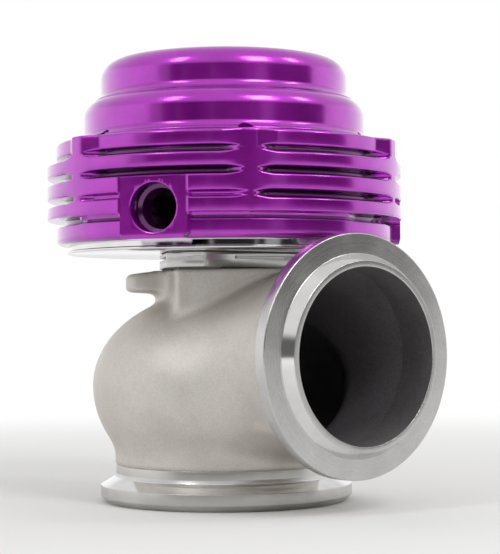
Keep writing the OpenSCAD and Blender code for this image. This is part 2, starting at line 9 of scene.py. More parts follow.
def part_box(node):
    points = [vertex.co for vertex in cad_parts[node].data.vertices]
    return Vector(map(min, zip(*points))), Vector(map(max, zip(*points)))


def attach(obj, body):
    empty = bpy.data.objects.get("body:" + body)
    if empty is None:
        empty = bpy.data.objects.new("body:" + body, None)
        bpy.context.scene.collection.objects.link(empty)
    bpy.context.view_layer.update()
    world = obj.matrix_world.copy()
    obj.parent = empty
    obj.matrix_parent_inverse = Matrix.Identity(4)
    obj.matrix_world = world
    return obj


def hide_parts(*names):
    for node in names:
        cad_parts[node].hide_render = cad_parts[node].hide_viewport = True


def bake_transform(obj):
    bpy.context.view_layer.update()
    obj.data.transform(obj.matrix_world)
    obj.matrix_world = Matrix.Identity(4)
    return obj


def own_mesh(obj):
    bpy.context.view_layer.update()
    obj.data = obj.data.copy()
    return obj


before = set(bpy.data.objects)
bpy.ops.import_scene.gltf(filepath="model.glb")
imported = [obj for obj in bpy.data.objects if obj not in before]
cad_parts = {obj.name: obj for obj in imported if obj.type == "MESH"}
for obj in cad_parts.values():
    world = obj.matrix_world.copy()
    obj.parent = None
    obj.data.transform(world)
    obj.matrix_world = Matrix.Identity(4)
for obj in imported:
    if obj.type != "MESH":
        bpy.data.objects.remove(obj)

# Lengths below are millimetres unless they say otherwise. Pieces become metres when they are finished.
MM = 0.001
scene = bpy.context.scene
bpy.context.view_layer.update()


def low(node):
    """Lowest corner of a CAD node."""
    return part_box(node)[0] / MM


def high(node):
    """Highest corner of a CAD node."""
    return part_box(node)[1] / MM


# Shader sums
class Value:
    """A shader socket that takes part in ordinary sums."""

    def __init__(self, shader, socket):
        self.shader = shader
        self.socket = socket

    def pick(self, output):
        """Another output of the same node."""
        return Value(self.shader, self.socket.node.outputs[output])

    def sum(self, operation, first, second):
        return self.shader.node("ShaderNodeMath", {"operation": operation}, {0: first, 1: second})

    def __add__(self, other):
        return self.sum("ADD", self, other)

    def __radd__(self, other):
        return self.sum("ADD", other, self)

    def __sub__(self, other):
        return self.sum("SUBTRACT", self, other)

    def __rsub__(self, other):
        return self.sum("SUBTRACT", other, self)

    def __mul__(self, other):
        return self.sum("MULTIPLY", self, other)

    def __rmul__(self, other):
        return self.sum("MULTIPLY", other, self)

    def __pow__(self, other):
        return self.sum("POWER", self, other)

    def __rpow__(self, other):
        return self.sum("POWER", other, self)

    def between(self, start, end):
        """Rises smoothly from 0 at start to 1 at end."""
        settings = {"interpolation_type": "SMOOTHSTEP"}
        return self.shader.node("ShaderNodeMapRange", settings, {0: self, 1: start, 2: end})


class Shader:
    """A node tree that is filled from Python."""

    def __init__(self, tree):
        self.tree = tree
        tree.nodes.clear()

    def node(self, kind, settings=None, inputs=None):
        """Adds a node, with its settings first and then the values or links of its sockets."""
        made = self.tree.nodes.new(kind)
        for name, value in (settings or {}).items():
            if name == "stops":
                self.set_stops(made.color_ramp, value)
            else:
                setattr(made, name, value)
        for key, value in (inputs or {}).items():
            if isinstance(value, Value):
                self.tree.links.new(value.socket, made.inputs[key])
            else:
                made.inputs[key].default_value = value
        return Value(self, made.outputs[0]) if len(made.outputs) else made

    def set_stops(self, ramp, stops):
        while len(ramp.elements) > 1:
            ramp.elements.remove(ramp.elements[-1])
        for i, (place, colour) in enumerate(stops):
            element = ramp.elements[0] if i == 0 else ramp.elements.new(place)
            element.position = place
            element.color = (*colour, 1)

    def place(self):
        """Object coordinates, in metres."""
        return self.node("ShaderNodeTexCoord").pick("Object")

    def parts(self, vector):
        """The three numbers of a vector."""
        split = self.node("ShaderNodeSeparateXYZ", None, {0: vector})
        return split, split.pick("Y"), split.pick("Z")

    def vector(self, x, y, z):
        return self.node("ShaderNodeCombineXYZ", None, {0: x, 1: y, 2: z})

    def noise(self, vector, scale, detail=2.0, rough=0.5):
        inputs = {"Vector": vector, "Scale": scale, "Detail": detail, "Roughness": rough}
        return self.node("ShaderNodeTexNoise", None, inputs)

    def blend(self, amount, first, second, how="MIX"):
        """Mixes two colours."""
        settings = {"data_type": "RGBA", "blend_type": how}
        made = self.node("ShaderNodeMix", settings, {0: amount, 6: first, 7: second})
        return made.pick(2)

    def bump(self, height, depth, strength, under=None):
        """Relief of a height map, depth in metres, on top of another relief where one is given."""
        inputs = {"Strength": strength, "Distance": depth, "Height": height}
        if under:
            inputs["Normal"] = under
        return self.node("ShaderNodeBump", None, inputs)


def finish(name, build):
    """Material whose build function returns the sockets of its surface shader."""
    material = bpy.data.materials.new(name)
    material.use_nodes = True
    shader = Shader(material.node_tree)
    surface = shader.node("ShaderNodeBsdfPrincipled", None, build(shader))
    shader.node("ShaderNodeOutputMaterial", None, {"Surface": surface})
    return material


def colour(red, green, blue):
    return (red, green, blue, 1)


# Finishes, with their lengths in metres
def ring_lines(shader, pitch, axis_height=None):
    """Fine lathe lines round the stem's axis, or round the outlet's axis where its height is given."""
    x, y, z = shader.parts(shader.place())
    if axis_height is None:
        across = (x * x + y * y) ** 0.5
        along = z
    else:
        up = z - axis_height
        across = (y * y + up * up) ** 0.5
        along = x
    lines = shader.vector(across * (1 / pitch), along * (1 / pitch), 0.0)
    return shader.noise(lines, 1.0, 1.0)


def purple_anodised(shader):
    """Dyed aluminium under a clear gloss, with painted shade: darker where it lies deep in a groove."""
    fin_edge = 0.0435
    groove_root = 0.0420
    housing_top = 0.0890
    below_top = 0.0885
    x, y, z = shader.parts(shader.place())
    cloud = shader.noise(shader.place(), 160, 3)
    lines = ring_lines(shader, 0.00022)
    across = (x * x + y * y) ** 0.5
    # Painted shade: the colour turns near-black purple deep in the grooves below the housing's top, where
    # shade falls.
    painted_groove_shade = across.between(fin_edge, groove_root) * z.between(housing_top, below_top)
    tint = shader.blend(cloud.between(0.3, 0.7), colour(0.40, 0.009, 0.46), colour(0.46, 0.014, 0.52))
    tint = shader.blend(painted_groove_shade, tint, colour(0.10, 0.002, 0.11))
    return {
        "Base Color": tint,
        "Metallic": 0.82,
        "Roughness": cloud * 0.05 + lines * 0.05 + 0.19,
        "Coat Weight": 1.0,
        "Coat Roughness": 0.14,
        "Coat IOR": 1.58,
        "Normal": shader.bump(lines, 0.000006, 0.5),
    }


def cast_surface(shader):
    """Stainless as it comes from the mould: matt, grainy and faintly blotched."""
    place = shader.place()
    grain = shader.noise(place, 2600, 3, 0.6)
    pits = shader.noise(place, 900, 3, 0.6)
    cloud = shader.noise(place, 70, 4, 0.6)
    patch = shader.blend(cloud.between(0.3, 0.7), colour(0.68, 0.64, 0.595), colour(0.76, 0.73, 0.69))
    speckle = shader.blend(grain.between(0.25, 0.75), colour(0.86, 0.86, 0.86), colour(1.0, 1.0, 1.0))
    coarse = shader.bump(pits, 0.00007, 0.5)
    return {
        "Base Color": shader.blend(1.0, patch, speckle, "MULTIPLY"),
        "Metallic": 1.0,
        "Roughness": cloud * 0.08 + 0.53,
        "Normal": shader.bump(grain, 0.00004, 0.6, coarse),
    }


def painted_bore_shade(shader):
    """Painted shade for the inside of the casting: a dark, grainy tone in place of the shade in its bore."""
    place = shader.place()
    grain = shader.noise(place, 1500, 4, 0.7)
    cloud = shader.noise(place, 90, 3)
    # Painted shade: dark grey, with random blotches, where the bore lies in shade.
    bore_shade_tone = shader.blend(cloud.between(0.3, 0.7), colour(0.150, 0.137, 0.146), colour(0.192, 0.178, 0.188))
    speckle = shader.blend(grain.between(0.3, 0.7), colour(0.75, 0.75, 0.75), colour(1.0, 1.0, 1.0))
    return {
        "Base Color": shader.blend(1.0, bore_shade_tone, speckle, "MULTIPLY"),
        "Metallic": 0.3,
        "Roughness": grain * 0.15 + 0.50,
        "Normal": shader.bump(grain, 0.00014, 0.8),
    }


def turned_surface(shader, base, rough, axis_height=None):
    """Metal from the lathe, with lines round its axis."""
    lines = ring_lines(shader, 0.00012, axis_height)
    cloud = shader.noise(shader.place(), 120, 3)
    light = colour(*base)
    shade = 0.86
    dark = colour(*[shade * c for c in base])
    return {
        "Base Color": shader.blend(cloud.between(0.25, 0.75), dark, light),
        "Metallic": 1.0,
        "Roughness": lines * 0.08 + cloud * 0.05 + (rough - 0.06),
        "Normal": shader.bump(lines, 0.000004, 0.4),
    }


def machined_stainless(shader):
    return turned_surface(shader, (0.62, 0.61, 0.595), 0.30)


def outlet_stainless(shader):
    return turned_surface(shader, (0.62, 0.61, 0.60), 0.27, OUTLET_Z * MM)


def polished_stainless(shader):
    return turned_surface(shader, (0.80, 0.795, 0.79), 0.09)


def alloy_steel(shader):
    return turned_surface(shader, (0.42, 0.42, 0.43), 0.33)


def guide_bronze(shader):
    return turned_surface(shader, (0.52, 0.32, 0.14), 0.30)


def plain_aluminium(shader):
    return turned_surface(shader, (0.66, 0.66, 0.67), 0.32)


def spring_wire(shader):
    scuffs = shader.noise(shader.place(), 500, 3)
    return {
        "Base Color": shader.blend(scuffs, colour(0.27, 0.28, 0.30), colour(0.38, 0.39, 0.41)),
        "Metallic": 1.0,
        "Roughness": scuffs * 0.15 + 0.25,
        "Normal": shader.bump(scuffs, 0.00002, 0.4),
    }


def gasket_sheet(shader):
    grain = shader.noise(shader.place(), 1800, 3)
    return {
        "Base Color": shader.blend(grain, colour(0.10, 0.10, 0.10), colour(0.19, 0.19, 0.18)),
        "Metallic": 0.4,
        "Roughness": 0.6,
        "Normal": shader.bump(grain, 0.00003, 0.5),
    }


def woven_rubber(shader):
    weave = shader.node("ShaderNodeTexChecker", None, {"Vector": shader.place(), "Scale": 1100.0}).pick(1)
    cloud = shader.noise(shader.place(), 200, 2)
    return {
        "Base Color": shader.blend(cloud, colour(0.012, 0.012, 0.013), colour(0.030, 0.029, 0.030)),
        "Roughness": cloud * 0.2 + 0.5,
        "Normal": shader.bump(weave, 0.00005, 0.5),
    }


def seal_rubber(shader):
    cloud = shader.noise(shader.place(), 700, 3)
    return {
        "Base Color": shader.blend(cloud, colour(0.018, 0.014, 0.013), colour(0.035, 0.028, 0.026)),
        "Roughness": cloud * 0.2 + 0.45,
        "Normal": shader.bump(cloud, 0.00002, 0.4),
    }


# Turning, cutting and finishing of pieces
def rounded(corners, segments=5):
    """Outline through corners given as (radius, height, rounding), with each corner rounded."""
    outline = []
    for i, (x, y, rounding) in enumerate(corners):
        corner = Vector((x, y))
        if rounding == 0:
            outline.append(corner)
            continue
        back = (Vector(corners[i - 1][:2]) - corner).normalized()
        on = (Vector(corners[(i + 1) % len(corners)][:2]) - corner).normalized()
        half = back.angle(on) / 2
        centre = corner + (back + on).normalized() * (rounding / math.sin(half))
        start = corner + back * (rounding / math.tan(half)) - centre
        end = corner + on * (rounding / math.tan(half)) - centre
        sweep = math.pi - 2 * half
        for s in range(segments + 1):
            t = s / segments
            step = (start * math.sin((1 - t) * sweep) + end * math.sin(t * sweep)) / math.sin(sweep)
            outline.append(centre + step)
    return outline


def arc(centre, radius, start, end, segments):
    """Points on a circle, angles in degrees."""
    angles = [math.radians(start + (end - start) * s / segments) for s in range(segments + 1)]
    return [Vector((centre[0] + radius * math.cos(a), centre[1] + radius * math.sin(a))) for a in angles]


def spun(outline, steps):
    """Solid turned round the Z axis from a closed outline of radius and height."""
    shape = bmesh.new()
    ring = [shape.verts.new((r, 0, z)) for r, z in outline]
    pairs = zip(ring, ring[1:] + ring[:1])
    edges = [shape.edges.new(pair) for pair in pairs if max(v.co.x for v in pair) > 0]
    bmesh.ops.spin(shape, geom=ring + edges, cent=(0, 0, 0), axis=(0, 0, 1), angle=2 * math.pi,
                   steps=steps, use_merge=True)
    bmesh.ops.remove_doubles(shape, verts=shape.verts, dist=0.0005)
    bmesh.ops.recalc_face_normals(shape, faces=shape.faces)
    return shape


def meet(first, second):
    """Point where two sides meet, each given by the angle of its normal and its distance."""
    a, reach_a = math.radians(first[0]), first[1]
    b, reach_b = math.radians(second[0]), second[1]
    turn = math.sin(b - a)
    return Vector(((reach_a * math.sin(b) - reach_b * math.sin(a)) / turn,
                   (reach_b * math.cos(a) - reach_a * math.cos(b)) / turn))


def extruded(outline, bottom, top):
    """Upright prism over a closed outline."""
    shape = bmesh.new()
    base = shape.faces.new([shape.verts.new((x, y, bottom)) for x, y in outline])
    grown = bmesh.ops.extrude_face_region(shape, geom=[base])["geom"]
    raised = [item for item in grown if isinstance(item, bmesh.types.BMVert)]
    bmesh.ops.translate(shape, vec=(0, 0, top - bottom), verts=raised)
    bmesh.ops.recalc_face_normals(shape, faces=shape.faces)
    return shape


def placed(shape, matrix):
    """The shape, moved and turned to its place."""
    bmesh.ops.transform(shape, matrix=matrix, verts=shape.verts)
    return shape


def joined(first, second):
    """Adds the second shape to the first."""
    mesh = bpy.data.meshes.new("joined")
    second.to_mesh(mesh)
    second.free()
    first.from_mesh(mesh)
    bpy.data.meshes.remove(mesh)
    return first


def holder(shape):
    """Temporary object that holds a shape."""
    mesh = bpy.data.meshes.new("holder")
    shape.to_mesh(mesh)
    shape.free()
    made = bpy.data.objects.new("holder", mesh)
    scene.collection.objects.link(made)
    return made


def modified(shape, kind, cutter=None, **settings):
    """The shape after one modifier has been applied."""
    body = holder(shape)
    modifier = body.modifiers.new(kind, kind)
    for name, value in settings.items():
        setattr(modifier, name, value)
    tool = holder(cutter) if cutter else None
    if tool:
        modifier.object = tool
    graph = bpy.context.evaluated_depsgraph_get()
    result = bmesh.new()
    result.from_mesh(body.evaluated_get(graph).to_mesh())
    for made in [body] + ([tool] if tool else []):
        mesh = made.data
        bpy.data.objects.remove(made)
        bpy.data.meshes.remove(mesh)
    return result


def drilled(shape, cutter):
    """The shape with the cutter's volume taken out."""
    return modified(shape, "BOOLEAN", cutter, operation="DIFFERENCE", solver="EXACT")


def piece(name, shape, body, slot, *materials, crease=30):
    """Finished object of a shape, in metres and riding on its body."""
    bmesh.ops.scale(shape, vec=(MM, MM, MM), verts=shape.verts)
    mesh = bpy.data.meshes.new(name)
    shape.to_mesh(mesh)
    shape.free()
    mesh.shade_smooth()
    mesh.set_sharp_from_angle(angle=math.radians(crease))
    for material in materials:
        mesh.materials.append(material)
    made = bpy.data.objects.new(name, mesh)
    scene.collection.objects.link(made)
    if body:
        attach(made, body)
    return made


# Heights along the stem and places that several pieces share
OUTLET_Z = 37.6
HOUSING_Z = low("actuator_housing").z
HOUSING_TOP = high("actuator_housing").z
FIN_R = high("actuator_housing").y
COLLAR_R = high("actuator_cap").y
CAP_TOP = high("actuator_cap").z
CAP_Z = low("actuator_cap").z
RING_Z = (low("retaining_ring").z + high("retaining_ring").z) / 2
RING_R = 38.75
RING_GROOVE = 1.275
BORE_R = COLLAR_R + 0.3
STEM_HOLE_R = 5.0
SCREW_HOLE_R = 2.75
SCREW_PLACES = [(19.5, 62), (19.5, -62), (12.4, 150), (12.4, -150)]
POST_ANGLES = [30 + 60 * i for i in range(6)]
PORT_ANGLES = [-60, 60]
TO_OUTLET = Matrix.Translation((0, 0, OUTLET_Z)) @ Matrix.Rotation(math.pi / 2, 4, "Y")


def screw_holes():
    """Cutters for the base screws' holes."""
    cutters = bmesh.new()
    for reach, angle in SCREW_PLACES:
        hole = bmesh.new()
        bmesh.ops.create_cone(hole, cap_ends=True, segments=32, radius1=SCREW_HOLE_R, radius2=SCREW_HOLE_R,
                              depth=12)
        a = math.radians(angle)
        middle = (reach * math.cos(a), reach * math.sin(a), HOUSING_Z)
        joined(cutters, placed(hole, Matrix.Translation(middle)))
    return cutters


# Cap
def cap_shape():
    """Shell of two steps, with a groove for the wire ring and a bored boss inside its top."""
    step_r = 36.4
    crown_r = 32.0
    shoulder = 4.7
    crown_edge = 5.0
    cove = 2.0
    collar_top = HOUSING_TOP + 1.1
    step_top = HOUSING_TOP + 6.9
    port_r = 4.3
    boss_r = 8.0
    skirt_bore_r = 34.2
    crown_bore_r = 29.2
    wall = 3
    inner_top = CAP_TOP - wall
    neck_z = step_top + shoulder * math.sin(math.radians(78))
    outline = (
        [Vector((port_r, CAP_TOP - 1.0)), Vector((port_r + 1.0, CAP_TOP))]
        + arc((crown_r - crown_edge, CAP_TOP - crown_edge), crown_edge, 90, 0, 12)
        + arc((crown_r + cove, neck_z + cove * 0.98), cove, 180, 258, 8)
        + arc((step_r - shoulder, step_top), shoulder, 66, 0, 10)
        + arc((step_r + cove, collar_top + cove), cove, 180, 264, 8)
        + arc((COLLAR_R - 0.3, collar_top - 0.25), 0.3, 80, 0, 3)
        + arc((RING_R, RING_Z), RING_GROOVE, 97, 263, 8)
        + [Vector((COLLAR_R, CAP_Z)), Vector((skirt_bore_r, CAP_Z)), Vector((skirt_bore_r, step_top - 2)),
           Vector((crown_bore_r + 1.5, step_top + 1.6)), Vector((crown_bore_r, step_top + 3.1)),
           Vector((crown_bore_r, inner_top - wall)), Vector((crown_bore_r - wall, inner_top)),
           Vector((boss_r, inner_top)), Vector((boss_r, inner_top - wall)),
           Vector((port_r, inner_top - wall))]
    )
    return spun(outline, 320)


def collar_notches():
    """Small pointed cuts in the foot of the cap, one beside each corner post."""
    notches = bmesh.new()
    base = HOUSING_TOP + 0.4
    height = 2.7
    foot_r = 2.6
    tip_r = 0.05
    for angle in POST_ANGLES:
        cut = bmesh.new()
        bmesh.ops.create_cone(cut, cap_ends=True, segments=32, radius1=foot_r, radius2=tip_r,
                              depth=height)
        outward = Matrix.Translation((COLLAR_R - 1.0, 0, base + height / 2))
        placed(cut, Matrix.Rotation(math.radians(angle), 4, "Z") @ outward)
        joined(notches, cut)
    return notches


# Housing
GROOVE_HALF = 0.95
GROOVE_R = 41.1
LOW_FIN_R = 43.4
TOP_FIN_R = 43.6
TOP_FLAT = 40.6
GROOVE_Z = [HOUSING_Z + 5.4, HOUSING_Z + 10.4, HOUSING_Z + 16.0, HOUSING_Z + 21.2]
POST_WIDTHS = [-6.0, 1.2, 3.2, 5.2]
GROOVE_FADE = 4.8
GROOVE_NARROW = 0.7
PAD_REACH = 44.8
PAD_HALF = 8.9
TOP_EDGE = 0.6
FOOT_EDGE = 1.4
FOOT_SQUASH = 0.9
SHEET = 1.2
LEDGE_Z = CAP_Z - SHEET


def groove_section():
    """Cross-section of a groove as (depth share, offset from its middle), from its lower edge up."""
    depth = FIN_R - GROOVE_R
    lip = 0.5
    root = 0.9
    lower = [(lip - lip * math.cos(a), -GROOVE_HALF - lip + lip * math.sin(a))
             for a in np.linspace(0, math.pi / 2, 5)]
    lower += [(depth * 0.5, -GROOVE_HALF)]
    lower += [(depth - root + root * math.sin(a), -GROOVE_HALF + root - root * math.cos(a))
              for a in np.linspace(0, math.pi / 2, 5)]
    upper = [(d, -w) for d, w in reversed(lower)]
    return [(d / depth, w) for d, w in lower + [(depth, 0.0)] + upper]


def housing_outline():
    """Rows of the housing's outside as (height, height where the groove is closed, depth share, groove)."""
    rows = []
    for a in np.linspace(0, math.pi / 2, 6):
        z = HOUSING_Z + FOOT_EDGE * (1 - math.cos(a)) * FOOT_SQUASH
        rows.append((z, z, 0.0, -1))
    rows.append((HOUSING_Z + 2.2, HOUSING_Z + 2.2, 0.0, -1))
    for i, middle in enumerate(GROOVE_Z):
        section = groove_section()
        for k, (depth, offset) in enumerate(section):
            closed = section[-1][1] * GROOVE_NARROW * (2 * k / (len(section) - 1) - 1)
            rows.append((middle + offset, middle + closed, depth, i))
        if i < 3:
            rows.append((middle + 2.6, middle + 2.6, 0.0, -1))
    rows.append((HOUSING_TOP - 1.7, HOUSING_TOP - 1.7, 0.0, -1))
    for a in np.linspace(0, math.pi / 2, 5):
        z = HOUSING_TOP - TOP_EDGE + TOP_EDGE * math.sin(a)
        rows.append((z, z, 0.0, -1))
    return rows


def edge_inset(z):
    """How far the housing's top and bottom edges are rounded back."""
    top = np.clip((z - (HOUSING_TOP - TOP_EDGE)) / TOP_EDGE, 0, 1)
    foot = FOOT_EDGE * FOOT_SQUASH
    bottom = np.clip((HOUSING_Z + foot - z) / foot, 0, 1)
    return TOP_EDGE * (1 - np.sqrt(1 - top**2)), FOOT_EDGE * (1 - np.sqrt(1 - bottom**2))


def nearest(angle, places):
    """Turn from the nearest of some places, in radians."""
    turns = [np.abs((angle - math.radians(p) + math.pi) % (2 * math.pi) - math.pi) for p in places]
    return np.min(turns, axis=0)


def smooth(t):
    """Rises smoothly from 0 to 1 as t does."""
    t = np.clip(t, 0, 1)
    return t * t * (3 - 2 * t)


def fin_surface(angle, z):
    """Radius of the fins and the port pads before grooves are cut."""
    side = np.abs((angle + math.pi / 6) % (math.pi / 3) - math.pi / 6)
    flats = TOP_FLAT / np.cos(side)
    top = np.minimum(FIN_R, np.maximum(TOP_FIN_R, flats))
    radius = np.where(z > GROOVE_Z[3], top, np.where(z < GROOVE_Z[0], LOW_FIN_R, FIN_R))
    top_inset, foot_inset = edge_inset(z)
    turn = nearest(angle, PORT_ANGLES)
    across = PAD_REACH * np.tan(turn)
    cut_corner = 1.2
    near_port = 0.5
    corner = np.clip(cut_corner - (z - HOUSING_Z), 0, cut_corner)
    on_pad = (turn < near_port) & (across < PAD_HALF - corner) & (z < GROOVE_Z[2] - GROOVE_HALF - 0.3)
    return np.where(on_pad, PAD_REACH / np.cos(turn) - foot_inset * 0.15, radius - top_inset - foot_inset)


def groove_open(angle, groove):
    """1 where a groove has its full depth, 0 at the posts and pads, 0.5 on the shallow stretches."""
    post = nearest(angle, POST_ANGLES) * FIN_R
    width = np.array(POST_WIDTHS)[groove]
    opened = smooth((post - width / 2) / GROOVE_FADE)
    across = PAD_REACH * np.tan(np.minimum(nearest(angle, PORT_ANGLES), 1.0))
    beside_pad = smooth((across - PAD_HALF) / 0.7)
    turn = np.degrees(angle)
    # The lowest groove is shallow from the right pad to the outlet, the next one beside both pads.
    lowest = smooth((14 - turn) / 9) * smooth((turn + 96) / 4)
    second = smooth((np.abs(turn) - 28) / 2) * smooth((92 - np.abs(turn)) / 2)
    shallow = np.where(groove == 0, 1 - 0.5 * lowest, 1.0)
    shallow = np.where(groove == 1, 1 - 0.5 * second, shallow)
    return np.where(groove < 2, opened * beside_pad * shallow, opened)


def housing_shape():
    """Turned blank whose outside is then drawn in to the grooves, posts and pads."""
    rows = housing_outline()
    chamber_r = 34.5
    floor_z = HOUSING_Z + 2.4
    middle = [Vector((FIN_R - 6 * depth, z)) for z, closed, depth, groove in rows]
    inside = (
        [Vector((BORE_R + 0.4, HOUSING_TOP)), Vector((BORE_R, HOUSING_TOP - 0.4))]
        + [Vector((2 * BORE_R - x, z)) for x, z in arc((BORE_R + 0.15, RING_Z), RING_GROOVE, 97, 263, 6)]
        + [Vector((BORE_R, LEDGE_Z)), Vector((chamber_r, LEDGE_Z)), Vector((chamber_r, floor_z)),
           Vector((STEM_HOLE_R, floor_z)), Vector((STEM_HOLE_R, HOUSING_Z))]
    )
    shape = spun(middle + inside, 720)
    turned = np.array([v.co for v in shape.verts])
    radius = np.hypot(turned[:, 0], turned[:, 1])
    angle = np.arctan2(turned[:, 1], turned[:, 0])
    row_place = np.array([[p.x, p.y] for p in middle])
    gap = np.hypot(radius[:, None] - row_place[None, :, 0], turned[:, 2][:, None] - row_place[None, :, 1])
    row = np.argmin(gap, axis=1)
    outside = gap[np.arange(len(row)), row] < 0.001
    z, closed, depth, groove = (np.array(column)[row] for column in zip(*rows))
    opened = np.where(groove >= 0, groove_open(angle, np.maximum(groove, 0)), 0.0)
    surface = fin_surface(angle, z)
    centre = np.array(GROOVE_Z)[np.maximum(groove, 0)]
    narrowed = centre + (z - centre) * (GROOVE_NARROW + (1 - GROOVE_NARROW) * opened)
    height = np.where(groove >= 0, closed + (narrowed - closed) * smooth(opened / 0.4), z)
    reach = surface - (surface - GROOVE_R) * depth * opened
    for v, moves, r, a, h in zip(shape.verts, outside, reach, angle, height):
        if moves:
            v.co = (r * math.cos(a), r * math.sin(a), h)
    return shape


def port_cutter():
    """Tool that leaves a smooth mouth and threads in a side port."""
    mouth_r = 5.9
    thread_r = 4.95
    crest = 0.45
    depth = 4.2
    start = 30.0
    pitch = 1.3
    clear = PAD_REACH + 4
    outline = [Vector((0, clear)), Vector((mouth_r + 0.4, clear))]
    outline += [Vector((mouth_r + 0.4, PAD_REACH)), Vector((mouth_r + 0.12, PAD_REACH - 0.12)),
                Vector((mouth_r, PAD_REACH - 0.4)), Vector((mouth_r, PAD_REACH - depth))]
    z = PAD_REACH - depth - 0.5
    while z > start + pitch:
        outline += [Vector((thread_r, z)), Vector((thread_r + crest, z - pitch / 2))]
        z -= pitch
    outline += [Vector((thread_r, z)), Vector((thread_r, start)), Vector((0, start))]
    return spun(outline, 72)


def port_cutters():
    """Cutters for both side ports."""
    cutters = bmesh.new()
    port_z = HOUSING_Z + 7.4
    for angle in PORT_ANGLES:
        turn = Matrix.Rotation(math.radians(angle), 4, "Z") @ Matrix.Rotation(math.pi / 2, 4, "Y")
        joined(cutters, placed(port_cutter(), Matrix.Translation((0, 0, port_z)) @ turn))
    return cutters


# Base plate
def base_plate_shape():
    """Disc with a thin lip under the housing."""
    bottom = low("base_plate").z
    top = high("base_plate").z
    lip_r = high("base_plate").y
    band_r = 40.2
    return spun(rounded([
        (STEM_HOLE_R, bottom, 0), (lip_r, bottom, 0.22), (lip_r, bottom + 0.7, 0.22),
        (band_r, bottom + 0.75, 0.1), (band_r, top, 0), (STEM_HOLE_R, top, 0)], 4), 320)


# Gate casting: fields that are negative inside a form, zero on its surface and positive outside
def smooth_min(a, b, k):
    """Union of two fields with a fillet of size k."""
    h = np.clip(0.5 + 0.5 * (b - a) / k, 0, 1)
    return b + (a - b) * h - k * h * (1 - h)


def smooth_max(a, b, k):
    """What two fields share, with a fillet of size k."""
    return -smooth_min(-a, -b, k)


BULB_Z = 29.8
DECK_Z = low("body_gasket").z
CAST_Z = 8.9
CAST_X = 46.4
NECK_R = 17.2
BOSS_Z = 38
TAPPED_Z = DECK_Z - 7.5


def bulb_field(p, radius, rise, drop):
    """Round chamber of a radius, with its own heights above and below its middle."""
    z = p[:, 2] - BULB_Z
    tall = np.where(z > 0, rise, drop)
    scaled = np.stack([p[:, 0] / radius, p[:, 1] / radius, z / tall], 1)
    twice = np.stack([p[:, 0] / radius**2, p[:, 1] / radius**2, z / tall**2], 1)
    size = np.linalg.norm(scaled, axis=1)
    return size * (size - 1) / np.maximum(np.linalg.norm(twice, axis=1), 1e-9)


def tube_field(p, wall):
    """Outlet tube, which rises and widens a little from the stem to its flange."""
    start_z = 33.5
    start_r = 20.0
    end_x = 47.9
    end_r = 23.5
    length = math.hypot(end_x, OUTLET_Z - start_z)
    along = np.array([end_x, 0, OUTLET_Z - start_z]) / length
    out = p - np.array([0.0, 0.0, start_z])
    t = out @ along
    distance = np.linalg.norm(out - t[:, None] * along, axis=1)
    taper = (end_r - start_r) / length
    return (distance - (start_r - wall + taper * t)) / math.hypot(1, taper)


def deck_field(p):
    """Five-sided deck with webs, under the heat spacer."""
    x, y, z = p.T
    web_depth = 14
    sides = [(45, 22.5), (-45, 22.5), (120, 15.0), (-120, 15.0), (180, 7.5)]
    flat = None
    for angle, reach in sides:
        a = math.radians(angle)
        d = x * math.cos(a) + y * math.sin(a) - reach
        flat = d if flat is None else smooth_max(flat, d, 1.6)
    flat = smooth_min(flat, np.hypot(x, y) - NECK_R, 0.8)
    return np.maximum(smooth_max(flat, z - DECK_Z, 0.6), DECK_Z - web_depth - z)


def lug_field(p, angle):
    """Rounded lug beside the deck, thicker towards its root."""
    x, y, z = p.T
    a = math.radians(angle)
    reach = 25.7
    half = 6.5
    corner = 4.33
    edge = 1.3
    bottom = DECK_Z - 5.2
    top = DECK_Z - 0.8
    along = np.abs(x * math.cos(a) + y * math.sin(a) - reach / 2) - (reach / 2 - corner)
    across = np.abs(y * math.cos(a) - x * math.sin(a)) - (half - corner)
    plan = np.hypot(np.maximum(along, 0), np.maximum(across, 0)) + np.minimum(np.maximum(along, across), 0)
    plan = plan - corner + edge
    inward = np.clip(reach - (x * math.cos(a) + y * math.sin(a)), 0, 11)
    top = top - 0.1 + 0.115 * inward
    bottom = bottom - 0.1 - 0.065 * inward
    tall = np.abs(z - (top + bottom) / 2) - ((top - bottom) / 2 - edge)
    return (np.hypot(np.maximum(plan, 0), np.maximum(tall, 0)) + np.minimum(np.maximum(plan, tall), 0)) - edge


def casting_outside(p):
    """Outer form: chamber, foot, neck, outlet tube, deck and two lugs."""
    x, y, z = p.T
    radius = np.hypot(x, y)
    bulb = bulb_field(p, radius=34.4, rise=24.7, drop=28.0)
    foot_r = 28.2 + 0.5 * smooth((z - 9.5) / 0.5)
    foot = np.maximum(radius - foot_r, z - 20)
    neck = np.maximum(radius - NECK_R, 40 - z)
    body = smooth_min(bulb, foot, 2.0)
    body = smooth_min(body, neck, 2.5)
    body = smooth_min(body, np.maximum(tube_field(p, 0), -x), 7.0)
    body = smooth_min(body, deck_field(p), 2.0)
    for angle in (-120, 120):
        body = smooth_min(body, lug_field(p, angle), 2.6)
    return body


def casting_inside(p):
    """Open space inside: chamber, outlet tube, mouth and seat bore, less the guide's boss."""
    x, y, z = p.T
    radius = np.hypot(x, y)
    wall = 2.5
    seat_r = 24.5
    boss_r = 10
    mouth_x = 44.9
    bulb = np.maximum(bulb_field(p, radius=31.0, rise=20.45, drop=24.6), 8.0 - z)
    tube = np.maximum(tube_field(p, wall), -x)
    mouth_r = 21.15 + 1.2 * smooth((x - mouth_x) / 1.2) - 0.25 * np.maximum(mouth_x - x, 0)
    mouth = np.maximum(np.hypot(y, z - OUTLET_Z) - mouth_r, 28 - x)
    open_space = smooth_min(smooth_min(bulb, tube, 3.0), mouth, 1.5)
    boss = np.maximum(radius - boss_r, BOSS_Z - z)
    open_space = smooth_max(open_space, -boss, 1.5)
    seat = np.maximum(radius - seat_r, z - 19.7)
    return np.minimum(open_space, seat)


